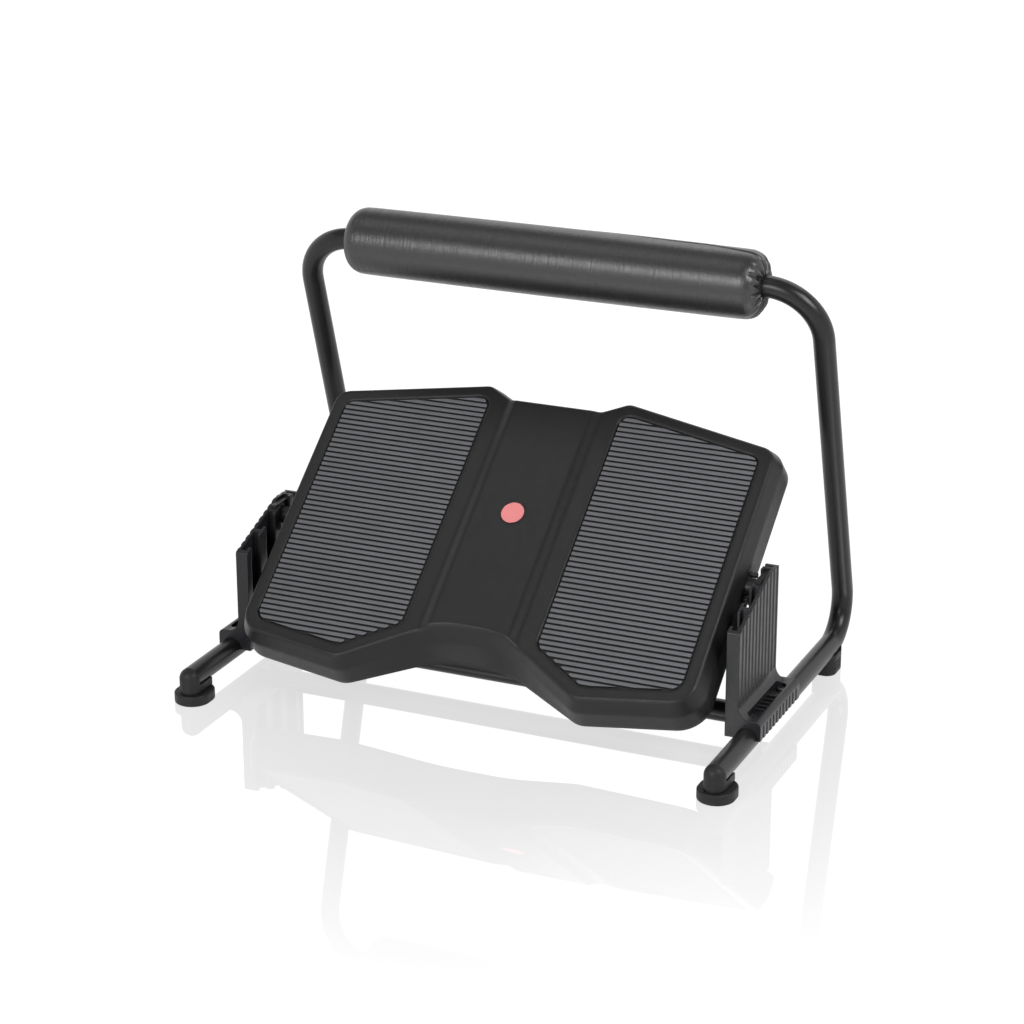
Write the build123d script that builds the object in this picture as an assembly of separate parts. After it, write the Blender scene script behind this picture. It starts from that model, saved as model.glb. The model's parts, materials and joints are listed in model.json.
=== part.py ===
from build123d import *
import os
from math import asin, cos, degrees, radians, sin, tan

# Driving dimensions in millimetres and degrees

# Tubular frame
tube_od = 20.0
tube_wall = 1.5
tube_side_room = 35.5        # tube axes outboard of the platform's top face
frame_depth = 367.5          # toes of the front feet to the back of the rear bends
base_axis_height = 23.5      # base tube axis above the floor
roll_axis_height = 383.0     # top bar axis above the floor
upright_lean = 17.5          # forward lean of the uprights from the vertical
rear_bend_radius = 36.0
hoop_bend_radius = 50.0
seam_height = 144.5          # where the hoop stands on the base tube
sleeve_length = 70.0
sleeve_wall = 1.5
crossbar_od = 20.0
crossbar_y = -42.5

# Fits
slip_fit = 0.1               # radial clearance of plugged tubes, pegs and screws
running_fit = 0.1            # radial clearance of what turns
slide_fit = 0.3              # clearance of the slide blocks in their channels
hub_clearance = 0.5          # hub of a slide block in its channel's mouth
seat_gap = 0.05              # screw heads and blocks above their seats

# Screws
screw_shank = 4.0
screw_head = 7.6
screw_head_height = 2.6
screw_head_rounding = 1.2
screw_socket = 3.2
screw_socket_depth = 1.3
joint_screw_length = 7.0
saddle_screw_length = 9.0
crossbar_screw_length = 8.0

# Front feet
foot_flange_width = 34.0
foot_flange_length = 40.0
foot_flange_height = 10.0
foot_toe = 3.4               # flange ahead of the tube's domed end
foot_heel = 4.5              # flange behind the cradle
foot_cradle_drop = 5.5       # cradle's edge below the tube's axis
foot_plug_length = 24.0
foot_groove_height = 0.9
foot_groove_depth = 1.0
foot_edge = 1.5

# Rear feet
rear_foot_lead = 20.75        # shoe ahead of the bend's start
rear_foot_length = 32.0
rear_foot_width = 23.0
rear_foot_front_height = 20.0
rear_foot_rear_height = 25.0
rear_foot_corner = 10.0
rear_foot_edge = 2.0
rear_peg_lead = 9.75          # peg ahead of the bend's start
rear_peg_diameter = 8.0
rear_peg_length = 9.0
rear_groove_depth = 1.0
rear_groove_width = 1.6
rear_groove_count = 3

# Side brackets
bracket_front = -93.0
bracket_length = 99.5
plate_offset = 8.0           # outer plate face, inboard of the tube axis
plate_thickness = 3.5
channel_depth = 8.5
channel_width = 26.5
channel_count = 3
end_wall = 3.5
web_thickness = 3.0
flange_thickness = 2.5
flange_overhang = 4.5
channel_step = 25.0          # height between neighbouring channel floors
floor_thickness = 3.0
bracket_rear_top = 149.5
bracket_rear_flat = 22.0
bracket_mid_top = 135.5
bracket_mid_back = 60.0
bracket_front_top = 121.0
bracket_top_rounding = 12.0
post_edge = 3.0
saddle_wall = 3.0
saddle_rise = 7.5            # saddle top above the tube
saddle_rear_length = 5.5
saddle_foot_radius = 12.0
saddle_edge_radius = 5.0
pocket_offset = 1.5          # pocket's centre, outboard of the tube axis
pocket_width = 10.0
pocket_depth = 5.0
pocket_end_margin = 8.0
pocket_rib = 1.5
pocket_rib_height = 3.0
pocket_rib_count = 5
pocket_rib_pitch = 8.0
pocket_screw_inset = 5.5
flute_count = 11
flute_radius = 3.4
flute_depth = 0.9
crossbar_socket = 8.2        # depth
socket_wall = 3.5
socket_width = 30.0

# Pivot of the platform
pivot_height = 134.0
platform_tilt = 38.2         # slope of the platform as it stands
axle_diameter = 10.0
block_thickness = 5.4
block_height = 26.0
stop_radius = 13.0           # stop pegs from the axle's axis
stop_peg_diameter = 5.0
stop_peg_length = 4.5
stop_finger_width = 5.0
stop_finger_reach = 15.5
stop_finger_thickness = 5.0
tilt_travel = 43.0           # from the standing slope to slightly past level
stop_gap = 0.3               # peg to finger at each end of the travel

# Platform shell: x across, y up the slope and z square to it, from the pivot
top_face = 25.2
wing_half_width = 219.5
wing_back_outer = 128.5
wing_back_inner = 157.0
wing_back_inner_x = 70.0
back_notch_x = 45.0
back_notch_y = 144.0
wing_front_outer = -135.0
wing_tip_x = 115.5
wing_tip_y = -149.5
arch_x = 37.0
arch_y = -102.0
arch_radius = 105.0
arch_lean = 10.0             # how far the arch's lower edge leans forward
back_notch_radius = 9.0
back_inner_radius = 11.0
back_outer_radius = 14.0
front_outer_radius = 22.0
tip_radius = 15.0
flare_height = 16.0
flare_out = 6.5
skirt_height = 20.0
skirt_draft = 1.5
rim_radius = 2.0
band_half_width = 38.5
band_foot_half_width = 48.0
band_rise = 4.5
band_rounding = 8.0
shell_wall = 3.0
ceiling_depth = 7.0          # underside of the top below the top face
rib_thickness = 2.5
rib_lift = 1.0               # lower edge of the ribs above the skirt's edge
rib_pitch_x = 43.0
rib_rows_x = 5               # on each side of the middle
rib_pitch_y = 46.0
rib_rows_y = 3               # on each side of the axle
boss_diameter = 16.0
boss_length = 14.0

# Ribbed foot pads
pad_margin = 12.0
pad_inner_x = 65.8
pad_recess = 3.0
pad_gap = 0.7
pad_base = 1.4
pad_rib_height = 1.9
pad_rib_pitch = 5.46
pad_groove = 1.5
pad_border = 0.9
pad_corner_radii = (10.0, 9.0, 13.0, 8.0, 12.0)

# Coloured disc
disc_diameter = 21.6
disc_thickness = 1.2
disc_recess = 1.0
disc_y = 22.0

# Padded leg roll
roll_diameter = 65.0
roll_crown = 0.6
roll_end_radius = 16.0
roll_end_dimple = 6.0
cover_thickness = 1.2
foam_end_gap = 8.8
foam_end_radius = 14.0
soft_gap = 0.3
elastic_diameter = 2.0
elastic_radius = 14.0
elastic_inset = 6.7

# Values that follow from the driving dimensions
tube_radius = tube_od / 2
tube_bore = tube_radius - tube_wall
tube_x = wing_half_width + tube_side_room
foot_front_y = -frame_depth / 2
front_end_y = foot_front_y + foot_toe + tube_radius
foot_body_rear = foot_front_y + foot_flange_length - foot_heel
bend_start = frame_depth / 2 - tube_radius - rear_bend_radius
rear_foot_front = bend_start - rear_foot_lead
rear_foot_rear = rear_foot_front + rear_foot_length
rear_peg_y = bend_start - rear_peg_lead
bend_reach = rear_bend_radius * tan(radians((90 + upright_lean) / 2))
corner_y = bend_start + bend_reach
upright_direction = Vector(0, -sin(radians(upright_lean)), cos(radians(upright_lean)))
upright_back = Vector(0, cos(radians(upright_lean)), sin(radians(upright_lean)))


def upright_point(x, height):
    """Point on an upright's axis at a height above the floor."""
    return Vector(x, corner_y - (height - base_axis_height) * tan(radians(upright_lean)), height)


hoop_y = upright_point(0, roll_axis_height).Y
joint_screw_height = seam_height + sleeve_length / 4 * cos(radians(upright_lean))

bracket_rear = bracket_front + bracket_length
plate_outer_x = tube_x - plate_offset
plate_inner_x = plate_outer_x - plate_thickness
bracket_inner_x = plate_inner_x - channel_depth
saddle_outer_x = tube_x + tube_radius + saddle_wall
saddle_top = base_axis_height + tube_radius + saddle_rise
saddle_rear = bracket_rear + saddle_rear_length
pocket_x = tube_x + pocket_offset
pocket_floor = saddle_top - pocket_depth
pocket_front = bracket_front + pocket_end_margin
pocket_rear = bracket_rear - pocket_end_margin
saddle_screw_ys = (pocket_front + pocket_screw_inset, pocket_rear - pocket_screw_inset)
crossbar_end_x = bracket_inner_x + crossbar_socket - slip_fit
crossbar_screw_x = bracket_inner_x + crossbar_socket / 2
socket_bottom = base_axis_height - crossbar_od / 2 - socket_wall
socket_top = base_axis_height + crossbar_od / 2 + socket_wall

channel_centres = [
    bracket_front + end_wall + channel_width / 2 + i * (channel_width + web_thickness)
    for i in range(channel_count)
]
pivot_y = channel_centres[-1]
block_width = channel_width - 2 * slide_fit
channel_floors = [
    pivot_height - block_height / 2 - seat_gap - (channel_count - 1 - i) * channel_step
    for i in range(channel_count)
]
block_x = plate_inner_x - slide_fit - block_thickness
hub_diameter = channel_width - 2 * flange_overhang - 2 * hub_clearance

crease_z = top_face - flare_height
skirt_z = crease_z - skirt_height
band_z = top_face + band_rise
ceiling_z = top_face - ceiling_depth
skirt_x = wing_half_width + flare_out + skirt_draft
hub_x = skirt_x + slide_fit + seat_gap
platform_place = Pos(0, pivot_y, pivot_height) * Rot(platform_tilt, 0, 0)
roll_place = Pos(0, hoop_y, roll_axis_height)
roll_radius = roll_diameter / 2
roll_half_length = tube_x - hoop_bend_radius  # the roll fills the bar between its bends


# Helpers


def box(x0, x1, y0, y1, z0, z1):
    """Box between two corners."""
    return Pos((x0 + x1) / 2, (y0 + y1) / 2, (z0 + z1) / 2) * Box(x1 - x0, y1 - y0, z1 - z0)


def rod_x(x0, x1, y, z, radius):
    """Cylinder along X."""
    return Pos((x0 + x1) / 2, y, z) * Rot(0, 90, 0) * Cylinder(radius, x1 - x0)


def rod_y(x, y0, y1, z, radius):
    """Cylinder along Y."""
    return Pos(x, (y0 + y1) / 2, z) * Rot(90, 0, 0) * Cylinder(radius, y1 - y0)


def rod_z(x, y, z0, z1, radius):
    """Cylinder along Z."""
    return Pos(x, y, (z0 + z1) / 2) * Cylinder(radius, z1 - z0)


def swept(path, radius):
    """Round bar along a path."""
    return sweep((path ^ 0) * Circle(radius), path=path)


def mirrored(part):
    """The same piece on the other side."""
    return mirror(part, about=Plane.YZ)


def on_both_sides(points):
    """A right-hand half outline, front to back, closed by its mirror image."""
    return list(points) + [(-x, y) for x, y in reversed(points)]


def grow(points, distance):
    """Polygon, counter-clockwise, with every side moved outwards."""
    grown = []
    for i, here in enumerate(points):
        here = Vector(*here)
        came = (here - Vector(*points[i - 1])).normalized()
        goes = (Vector(*points[(i + 1) % len(points)]) - here).normalized()
        out_before = Vector(came.Y, -came.X)
        out_after = Vector(goes.Y, -goes.X)
        shift = (out_before + out_after) * (distance / (1 + out_before.dot(out_after)))
        grown.append((here.X + shift.X, here.Y + shift.Y))
    return grown


def rounded_face(points, radii, growth=0.0):
    """Face of a polygon with rounded corners, grown outwards along parallel curves."""
    corner_radii = []
    for i, here in enumerate(points):
        here = Vector(*here)
        came = here - Vector(*points[i - 1])
        goes = Vector(*points[(i + 1) % len(points)]) - here
        outwards = 1 if came.cross(goes).Z > 0 else -1
        corner_radii.append(radii[i] + outwards * growth)
    return make_face(FilletPolyline(*grow(points, growth), radius=corner_radii, close=True))


def screw(length):
    """Pan head screw along Z with its seat at the origin and its shank below."""
    head = Pos(0, 0, screw_head_height / 2) * Cylinder(screw_head / 2, screw_head_height)
    head = fillet(head.edges().group_by(Axis.Z)[-1], screw_head_rounding)
    socket = extrude(RegularPolygon(screw_socket / 2, 6), -screw_socket_depth)
    shank = Pos(0, 0, -length / 2) * Cylinder(screw_shank / 2, length)
    return head + shank - Pos(0, 0, screw_head_height) * socket


# Tubular frame


def base_path():
    """Axis of the right base tube: floor run, rear bend and upright."""
    return FilletPolyline(
        (tube_x, front_end_y, base_axis_height),
        (tube_x, corner_y, base_axis_height),
        upright_point(tube_x, seam_height),
        radius=rear_bend_radius,
    )


def base_tube():
    """Right base tube with its screw holes and the hole of the rear foot's peg."""
    tube = swept(base_path(), tube_radius) - swept(base_path(), tube_bore)
    hole = screw_shank / 2 + slip_fit
    for y in saddle_screw_ys:
        tube -= rod_z(pocket_x, y, base_axis_height, saddle_top, hole)
    peg_hole = rear_peg_diameter / 2 + slip_fit
    tube -= rod_z(tube_x, rear_peg_y, 0, base_axis_height, peg_hole)
    return tube


def joint_screw_plane(x):
    """Plane on an upright's axis at the joint screw, facing backwards."""
    return Plane(origin=upright_point(x, joint_screw_height), x_dir=(1, 0, 0), z_dir=upright_back)


def joint_screw_hole(x):
    """Clearance hole of a joint screw in the back of a tube."""
    hole = Cylinder(screw_shank / 2 + slip_fit, 2 * tube_radius)
    return joint_screw_plane(x) * Pos(0, 0, tube_radius) * hole


def upper_hoop():
    """Inverted U that stands on both base tubes and carries the roll."""
    path = FilletPolyline(
        upright_point(-tube_x, seam_height),
        (-tube_x, hoop_y, roll_axis_height),
        (tube_x, hoop_y, roll_axis_height),
        upright_point(tube_x, seam_height),
        radius=hoop_bend_radius,
    )
    hoop = swept(path, tube_radius) - swept(path, tube_bore)
    for x in (-tube_x, tube_x):
        hoop -= joint_screw_hole(x)
    return hoop


def joint_sleeve():
    """Sleeve inside the right upright that joins hoop and base tube."""
    outer = tube_bore - slip_fit
    seam = Plane(origin=upright_point(tube_x, seam_height), x_dir=(1, 0, 0), z_dir=upright_direction)
    sleeve = seam * (Cylinder(outer, sleeve_length) - Cylinder(outer - sleeve_wall, sleeve_length))
    return sleeve - joint_screw_hole(tube_x)


def joint_screws():
    """One screw through the back of each upright into its sleeve."""
    screws = []
    for x in (-tube_x, tube_x):
        seat = joint_screw_plane(x) * Pos(0, 0, tube_radius + seat_gap)
        screws.append(seat * screw(joint_screw_length))
    return screws


def crossbar():
    """Tube that ties the two brackets together."""
    radius = crossbar_od / 2
    bar = rod_x(-crossbar_end_x, crossbar_end_x, crossbar_y, base_axis_height, radius)
    bar -= rod_x(-crossbar_end_x, crossbar_end_x, crossbar_y, base_axis_height, radius - tube_wall)
    for side in (-1, 1):
        bar -= rod_z(side * crossbar_screw_x, crossbar_y, 0, base_axis_height, screw_shank / 2 + slip_fit)
    return bar


def crossbar_screws():
    """One screw from below through each bracket into the crossbar."""
    screws = []
    for side in (-1, 1):
        seat = Pos(side * crossbar_screw_x, crossbar_y, socket_bottom - seat_gap) * Rot(180, 0, 0)
        screws.append(seat * screw(crossbar_screw_length))
    return screws


# Rubber feet


def foot_body_face(inset):
    """Plan of the front foot above its flange: round under the dome, square behind."""
    half = tube_radius - inset
    behind = foot_body_rear - inset - front_end_y
    nose = Pos(tube_x, front_end_y) * Circle(half)
    return nose + Pos(tube_x, front_end_y + behind / 2) * Rectangle(2 * half, behind)


def front_foot():
    """Right front foot: floor flange, cradle, domed front and a plug in the tube."""
    straight = foot_flange_length - foot_flange_width
    flange_face = Rot(0, 0, 90) * SlotCenterToCenter(straight, foot_flange_width)
    flange_y = foot_front_y + foot_flange_length / 2
    flange = Pos(tube_x, flange_y, 0) * extrude(flange_face, foot_flange_height)
    flange = fillet(flange.edges().group_by(Axis.Z)[-1], foot_edge)
    flange = fillet(flange.edges().group_by(Axis.Z)[0], foot_edge)
    neck_base = foot_flange_height - foot_edge
    neck_height = foot_edge + foot_groove_height
    neck = Pos(0, 0, neck_base) * extrude(foot_body_face(foot_groove_depth), neck_height)
    body_base = foot_flange_height + foot_groove_height
    body = Pos(0, 0, body_base) * extrude(foot_body_face(0), base_axis_height - body_base)
    dome = Pos(tube_x, front_end_y, base_axis_height) * Sphere(tube_radius)
    cradle_top = base_axis_height - foot_cradle_drop
    body -= box(
        tube_x - tube_radius, tube_x + tube_radius, front_end_y, foot_body_rear,
        cradle_top, base_axis_height,
    )
    tube_end = front_end_y + foot_plug_length
    bore = rod_y(tube_x, front_end_y, foot_body_rear, base_axis_height, tube_radius + slip_fit)
    behind = box(
        tube_x - tube_radius, tube_x + tube_radius, front_end_y, tube_end,
        base_axis_height - tube_radius, base_axis_height + tube_radius,
    )
    plug = rod_y(tube_x, front_end_y, tube_end, base_axis_height, tube_bore - slip_fit)
    return flange + neck + (body - bore) + (dome - behind) + plug


def rear_foot():
    """Right rear foot: a shoe under the start of the bend, pegged into the tube."""
    half = rear_foot_width / 2
    side = make_face(Polyline(
        (rear_foot_front, 0),
        (rear_foot_rear, 0),
        (rear_foot_rear, rear_foot_rear_height),
        (bend_start, rear_foot_front_height),
        (rear_foot_front, rear_foot_front_height),
        close=True,
    ))
    shoe = Pos(tube_x - half, 0, 0) * (Plane.YZ * extrude(side, rear_foot_width))
    shoe = fillet(shoe.edges().filter_by(Axis.Z), rear_foot_corner)
    shoe = fillet(shoe.edges().group_by(Axis.Z)[0], rear_foot_edge)
    shoe -= swept(base_path(), tube_radius + slip_fit)
    for i in range(rear_groove_count):
        low = 2 * rear_foot_edge + 2 * rear_groove_width * i
        core = half - rear_groove_depth
        core_rear = rear_foot_rear - rear_groove_depth
        cutter = box(-half, half, -frame_depth, frame_depth, low, low + rear_groove_width)
        cutter -= box(-core, core, rear_foot_front, core_rear, 0, frame_depth)
        shoe -= Pos(tube_x, 0, rear_groove_width) * cutter
    peg_base = base_axis_height - tube_radius - tube_wall
    peg = rod_z(tube_x, rear_peg_y, peg_base, peg_base + rear_peg_length, rear_peg_diameter / 2)
    return shoe + peg


# Side brackets


def bracket_outline():
    """Side view of the bracket's top, rising to the back, down to the floor."""
    face = make_face(FilletPolyline(
        (bracket_front, 0),
        (saddle_rear, 0),
        (saddle_rear, bracket_rear_top),
        (bracket_rear - bracket_rear_flat, bracket_rear_top),
        (bracket_rear - bracket_mid_back, bracket_mid_top),
        (bracket_front, bracket_front_top),
        radius=(0, 0, 0, bracket_top_rounding, bracket_top_rounding, post_edge),
        close=True,
    ))
    return Pos(bracket_inner_x, 0, 0) * (Plane.YZ * extrude(face, saddle_outer_x - bracket_inner_x))


def bracket_body():
    """Plate, inner block and saddle as one section along the tube."""
    section = make_face(FilletPolyline(
        (bracket_inner_x, base_axis_height),
        (saddle_outer_x, base_axis_height),
        (saddle_outer_x, saddle_top),
        (plate_outer_x, saddle_top),
        (plate_outer_x, bracket_rear_top),
        (plate_inner_x, bracket_rear_top),
        (plate_inner_x, socket_top),
        (bracket_inner_x, socket_top),
        radius=(0, 0, saddle_edge_radius, saddle_foot_radius, 0, 0, 0, 0),
        close=True,
    ))
    tail = make_face(FilletPolyline(
        (plate_outer_x, base_axis_height),
        (saddle_outer_x, base_axis_height),
        (saddle_outer_x, saddle_top),
        (plate_outer_x, saddle_top),
        radius=(0, 0, saddle_edge_radius, 0),
        close=True,
    ))
    body = Pos(0, bracket_front, 0) * (Plane.XZ * extrude(section, -bracket_length))
    body += Pos(0, bracket_rear, 0) * (Plane.XZ * extrude(tail, -saddle_rear_length))
    half = socket_width / 2
    return body + box(
        bracket_inner_x, plate_outer_x, crossbar_y - half, crossbar_y + half,
        socket_bottom, base_axis_height,
    )


def channel_walls():
    """End walls, webs, retaining flanges and floors of the drop-in channels."""
    low = socket_top
    high = bracket_rear_top
    lip_x = bracket_inner_x + flange_thickness
    walls = box(bracket_inner_x, plate_inner_x, bracket_front, bracket_front + end_wall, low, high)
    walls += box(bracket_inner_x, plate_inner_x, bracket_rear - end_wall, bracket_rear, low, high)
    for i, centre in enumerate(channel_centres):
        front = centre - channel_width / 2
        rear = centre + channel_width / 2
        walls += box(bracket_inner_x, plate_inner_x, rear, rear + web_thickness, low, high)
        walls += box(bracket_inner_x, lip_x, front, front + flange_overhang, low, high)
        walls += box(bracket_inner_x, lip_x, rear - flange_overhang, rear, low, high)
        floor = channel_floors[i]
        walls += box(bracket_inner_x, plate_inner_x, front, rear, floor - floor_thickness, floor)
    return walls


def flutes():
    """Upright grooves of the plate's outer face and of the saddle's outer wall."""
    pitch = (bracket_length - end_wall) / flute_count
    cutters = Part()
    for i in range(flute_count):
        y = bracket_front + end_wall + pitch * (i + 0.5)
        plate_x = plate_outer_x + flute_radius - flute_depth
        saddle_x = saddle_outer_x + flute_radius - flute_depth
        plate_low = saddle_top + saddle_foot_radius
        cutters += rod_z(plate_x, y, plate_low, bracket_rear_top + flute_radius, flute_radius)
        cutters += rod_z(saddle_x, y, 0, saddle_top - saddle_edge_radius, flute_radius)
    return cutters


def pocket():
    """Screw pocket in the saddle's top, with its cross ribs left standing."""
    length = pocket_rear - pocket_front
    centre_y = (pocket_front + pocket_rear) / 2
    slot = Rot(0, 0, 90) * SlotOverall(length, pocket_width)
    cutter = Pos(pocket_x, centre_y, pocket_floor) * extrude(slot, bracket_rear_top)
    for i in range(pocket_rib_count):
        y = centre_y + (i - (pocket_rib_count - 1) / 2) * pocket_rib_pitch
        half = pocket_width / 2
        rib_top = pocket_floor + pocket_rib_height
        cutter -= box(
            pocket_x - half, pocket_x + half, y - pocket_rib / 2, y + pocket_rib / 2,
            pocket_floor, rib_top,
        )
    return cutter


def bracket():
    """Right side bracket: fluted plate, channels and the saddle on the base tube."""
    part = (bracket_body() + channel_walls()) & bracket_outline()
    part -= flutes()
    part -= pocket()
    part -= rod_y(tube_x, bracket_front, saddle_rear, base_axis_height, tube_radius + slip_fit)
    socket_end = bracket_inner_x + crossbar_socket
    part -= rod_x(bracket_inner_x, socket_end, crossbar_y, base_axis_height, crossbar_od / 2 + slip_fit)
    hole = screw_shank / 2 + slip_fit
    part -= rod_z(crossbar_screw_x, crossbar_y, 0, base_axis_height, hole)
    for y in saddle_screw_ys:
        part -= rod_z(pocket_x, y, base_axis_height, saddle_top, hole)
    return part


def saddle_screws():
    """Two screws down through each saddle into its base tube."""
    screws = []
    for side in (-1, 1):
        for y in saddle_screw_ys:
            seat = Pos(side * pocket_x, y, pocket_floor + seat_gap)
            screws.append(seat * screw(saddle_screw_length))
    return screws


# Pivot


def axle():
    """Steel rod across the platform, as long as the space between the plates."""
    reach = plate_inner_x - 2 * slide_fit
    return Pos(0, pivot_y, pivot_height) * rod_x(-reach, reach, 0, 0, axle_diameter / 2)


def stop_finger(angle):
    """Finger of the slide block that a stop peg meets, at an angle from the level."""
    half = stop_finger_width / 2
    finger = box(hub_x, hub_x + stop_finger_thickness, 0, stop_finger_reach, -half, half)
    return Rot(angle, 0, 0) * finger


def slide_block():
    """Right slide block: it stands in a channel, holds the axle and stops the tilt."""
    block = box(
        block_x, block_x + block_thickness, -block_width / 2, block_width / 2,
        -block_height / 2, block_height / 2,
    )
    hub = rod_x(hub_x, block_x + block_thickness, 0, 0, hub_diameter / 2)
    stop_offset = (stop_finger_width + stop_peg_diameter) / 2 + stop_gap
    stop_angle = degrees(asin(stop_offset / stop_radius))
    low_stop = 180 + platform_tilt + stop_angle
    high_stop = platform_tilt - tilt_travel - stop_angle
    part = block + hub + stop_finger(low_stop) + stop_finger(high_stop)
    reach = plate_inner_x
    part -= rod_x(hub_x - slip_fit, reach, 0, 0, axle_diameter / 2 + seat_gap)
    return Pos(0, pivot_y, pivot_height) * part


# Platform


def half_outline(arch_shift):
    """Right half of the top face's outline, from the arch round to the back notch."""
    return (
        (arch_x, arch_y - arch_shift),
        (wing_tip_x, wing_tip_y),
        (wing_half_width, wing_front_outer),
        (wing_half_width, wing_back_outer),
        (wing_back_inner_x, wing_back_inner),
        (back_notch_x, back_notch_y),
    )


def outline_face(z, growth, arch_shift=0.0):
    """Platform outline at a height above the pivot, grown outwards."""
    half_radii = (
        arch_radius, tip_radius, front_outer_radius,
        back_outer_radius, back_inner_radius, back_notch_radius,
    )
    radii = list(half_radii) + list(reversed(half_radii))
    corners = on_both_sides(half_outline(arch_shift))
    return Pos(0, 0, z) * rounded_face(corners, radii, growth)


def flare_growth(z):
    """How far the flared rim stands out from the top face's outline."""
    return flare_out * (top_face - z) / flare_height


def rim_edges(solid):
    """Edges round the top, without the lines along the middle band."""
    band_reach = band_foot_half_width + band_rounding
    lengthways = solid.edges().filter_by(Axis.Y)
    along_band = [edge for edge in lengthways if abs(edge.center().X) < band_reach]
    low = top_face - rim_radius
    high = [edge for edge in solid.edges() if edge.bounding_box().min.Z > low]
    return [edge for edge in high if edge not in along_band]


def platform_solid():
    """Outside of the platform: skirt, flared rim, wings and raised middle band."""
    skirt = loft([
        outline_face(skirt_z, flare_out + skirt_draft, arch_lean),
        outline_face(crease_z, flare_out),
    ], ruled=True)
    rim = loft([
        outline_face(crease_z, flare_out),
        outline_face(band_z, flare_growth(band_z)),
    ], ruled=True)
    far = 2 * wing_half_width
    section = make_face(FilletPolyline(
        (-far, skirt_z),
        (far, skirt_z),
        (far, top_face),
        (band_foot_half_width, top_face),
        (band_half_width, band_z),
        (-band_half_width, band_z),
        (-band_foot_half_width, top_face),
        (-far, top_face),
        radius=(0, 0, 0, band_rounding, band_rounding, band_rounding, band_rounding, 0),
        close=True,
    ))
    top_shape = Pos(0, -far, 0) * (Plane.XZ * extrude(section, -2 * far))
    solid = (skirt + rim) & top_shape
    return fillet(rim_edges(solid), rim_radius)


def platform_cavity():
    """Hollow under the platform, open below."""
    lower = loft([
        outline_face(skirt_z, flare_out + skirt_draft - shell_wall, arch_lean),
        outline_face(crease_z, flare_out - shell_wall),
    ], ruled=True)
    upper = loft([
        outline_face(crease_z, flare_out - shell_wall),
        outline_face(ceiling_z, flare_growth(ceiling_z) - shell_wall),
    ], ruled=True)
    return lower + upper


def platform_ribs():
    """Stiffening ribs and axle bosses inside the hollow."""
    far = 2 * wing_half_width
    half = rib_thickness / 2
    low = skirt_z + rib_lift
    ribs = Part()
    boss_xs = [skirt_x - boss_length / 2]
    for i in range(rib_rows_x):
        boss_xs.append(rib_pitch_x * (i + 0.5))
    for side in (-1, 1):
        for x in boss_xs[1:]:
            ribs += box(side * x - half, side * x + half, -far, far, low, ceiling_z)
        for x in boss_xs:
            start = side * x - boss_length / 2
            ribs += rod_x(start, start + boss_length, 0, 0, boss_diameter / 2)
        for i in range(rib_rows_y):
            y = side * rib_pitch_y * (i + 0.5)
            ribs += box(-far, far, y - half, y + half, low, ceiling_z)
    return ribs


def pad_outline():
    """Right pad's corners, set in from the wing's edges by an even margin."""
    wing_inner_x = pad_inner_x - pad_margin
    back_slope = (wing_back_outer - wing_back_inner) / (wing_half_width - wing_back_inner_x)
    arch_slope = (wing_tip_y - arch_y) / (wing_tip_x - arch_x)
    wing = [
        (wing_inner_x, wing_back_inner + back_slope * (wing_inner_x - wing_back_inner_x)),
        (wing_inner_x, arch_y + arch_slope * (wing_inner_x - arch_x)),
        (wing_tip_x, wing_tip_y),
        (wing_half_width, wing_front_outer),
        (wing_half_width, wing_back_outer),
    ]
    return grow(wing, -pad_margin)


def pad_radii():
    """Corner radii in the order of the pad's outline."""
    inner_back, outer_back, outer_front, tip, inner_front = pad_corner_radii
    return [inner_back, inner_front, tip, outer_front, outer_back]


def pad_recess_cutter():
    """Recess of the right pad in the platform's top."""
    face = rounded_face(pad_outline(), pad_radii(), pad_gap)
    return Pos(0, 0, top_face - pad_recess) * extrude(face, pad_recess + band_rise)


def platform_shell():
    """Moulded platform with its hollow, ribs, pad recesses and axle bore."""
    solid = platform_solid()
    cavity = platform_cavity()
    shell = solid - cavity
    shell += platform_ribs() & cavity
    recess = pad_recess_cutter()
    shell -= recess
    shell -= mirrored(recess)
    shell -= Pos(0, disc_y, band_z) * Cylinder(disc_diameter / 2 + slip_fit, 2 * disc_recess)
    peg_radius = stop_peg_diameter / 2
    for side in (-1, 1):
        for y in (-stop_radius, stop_radius):
            inner = side * (skirt_x - shell_wall)
            outer = side * (skirt_x + stop_peg_length)
            shell += rod_x(min(inner, outer), max(inner, outer), y, 0, peg_radius)
    bore = axle_diameter / 2 + running_fit
    shell -= rod_x(-2 * wing_half_width, 2 * wing_half_width, 0, 0, bore)
    return platform_place * shell


def foot_pad():
    """Right ribbed pad: a sheet with ribs across the platform."""
    outline = rounded_face(pad_outline(), pad_radii())
    inner = rounded_face(pad_outline(), pad_radii(), -pad_border)
    bounds = inner.bounding_box()
    count = int((bounds.max.Y - bounds.min.Y) / pad_rib_pitch)
    rib_width = pad_rib_pitch - pad_groove
    first_y = (bounds.min.Y + bounds.max.Y) / 2 - (count - 1) / 2 * pad_rib_pitch
    centre_x = (bounds.min.X + bounds.max.X) / 2
    strip = Rectangle(2 * bounds.size.X, rib_width)
    strips = Sketch()
    for i in range(count):
        strips += Pos(centre_x, first_y + i * pad_rib_pitch) * strip
    ribs = inner & strips
    bottom = top_face - pad_recess
    sheet = Pos(0, 0, bottom) * extrude(outline, pad_base)
    pad = sheet + Pos(0, 0, bottom + pad_base) * extrude(ribs, pad_rib_height)
    return platform_place * pad


def colour_disc():
    """Plain round disc let into the raised band."""
    bottom = band_z - disc_recess
    return platform_place * rod_z(0, disc_y, bottom, bottom + disc_thickness, disc_diameter / 2)


# Padded leg roll


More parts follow.
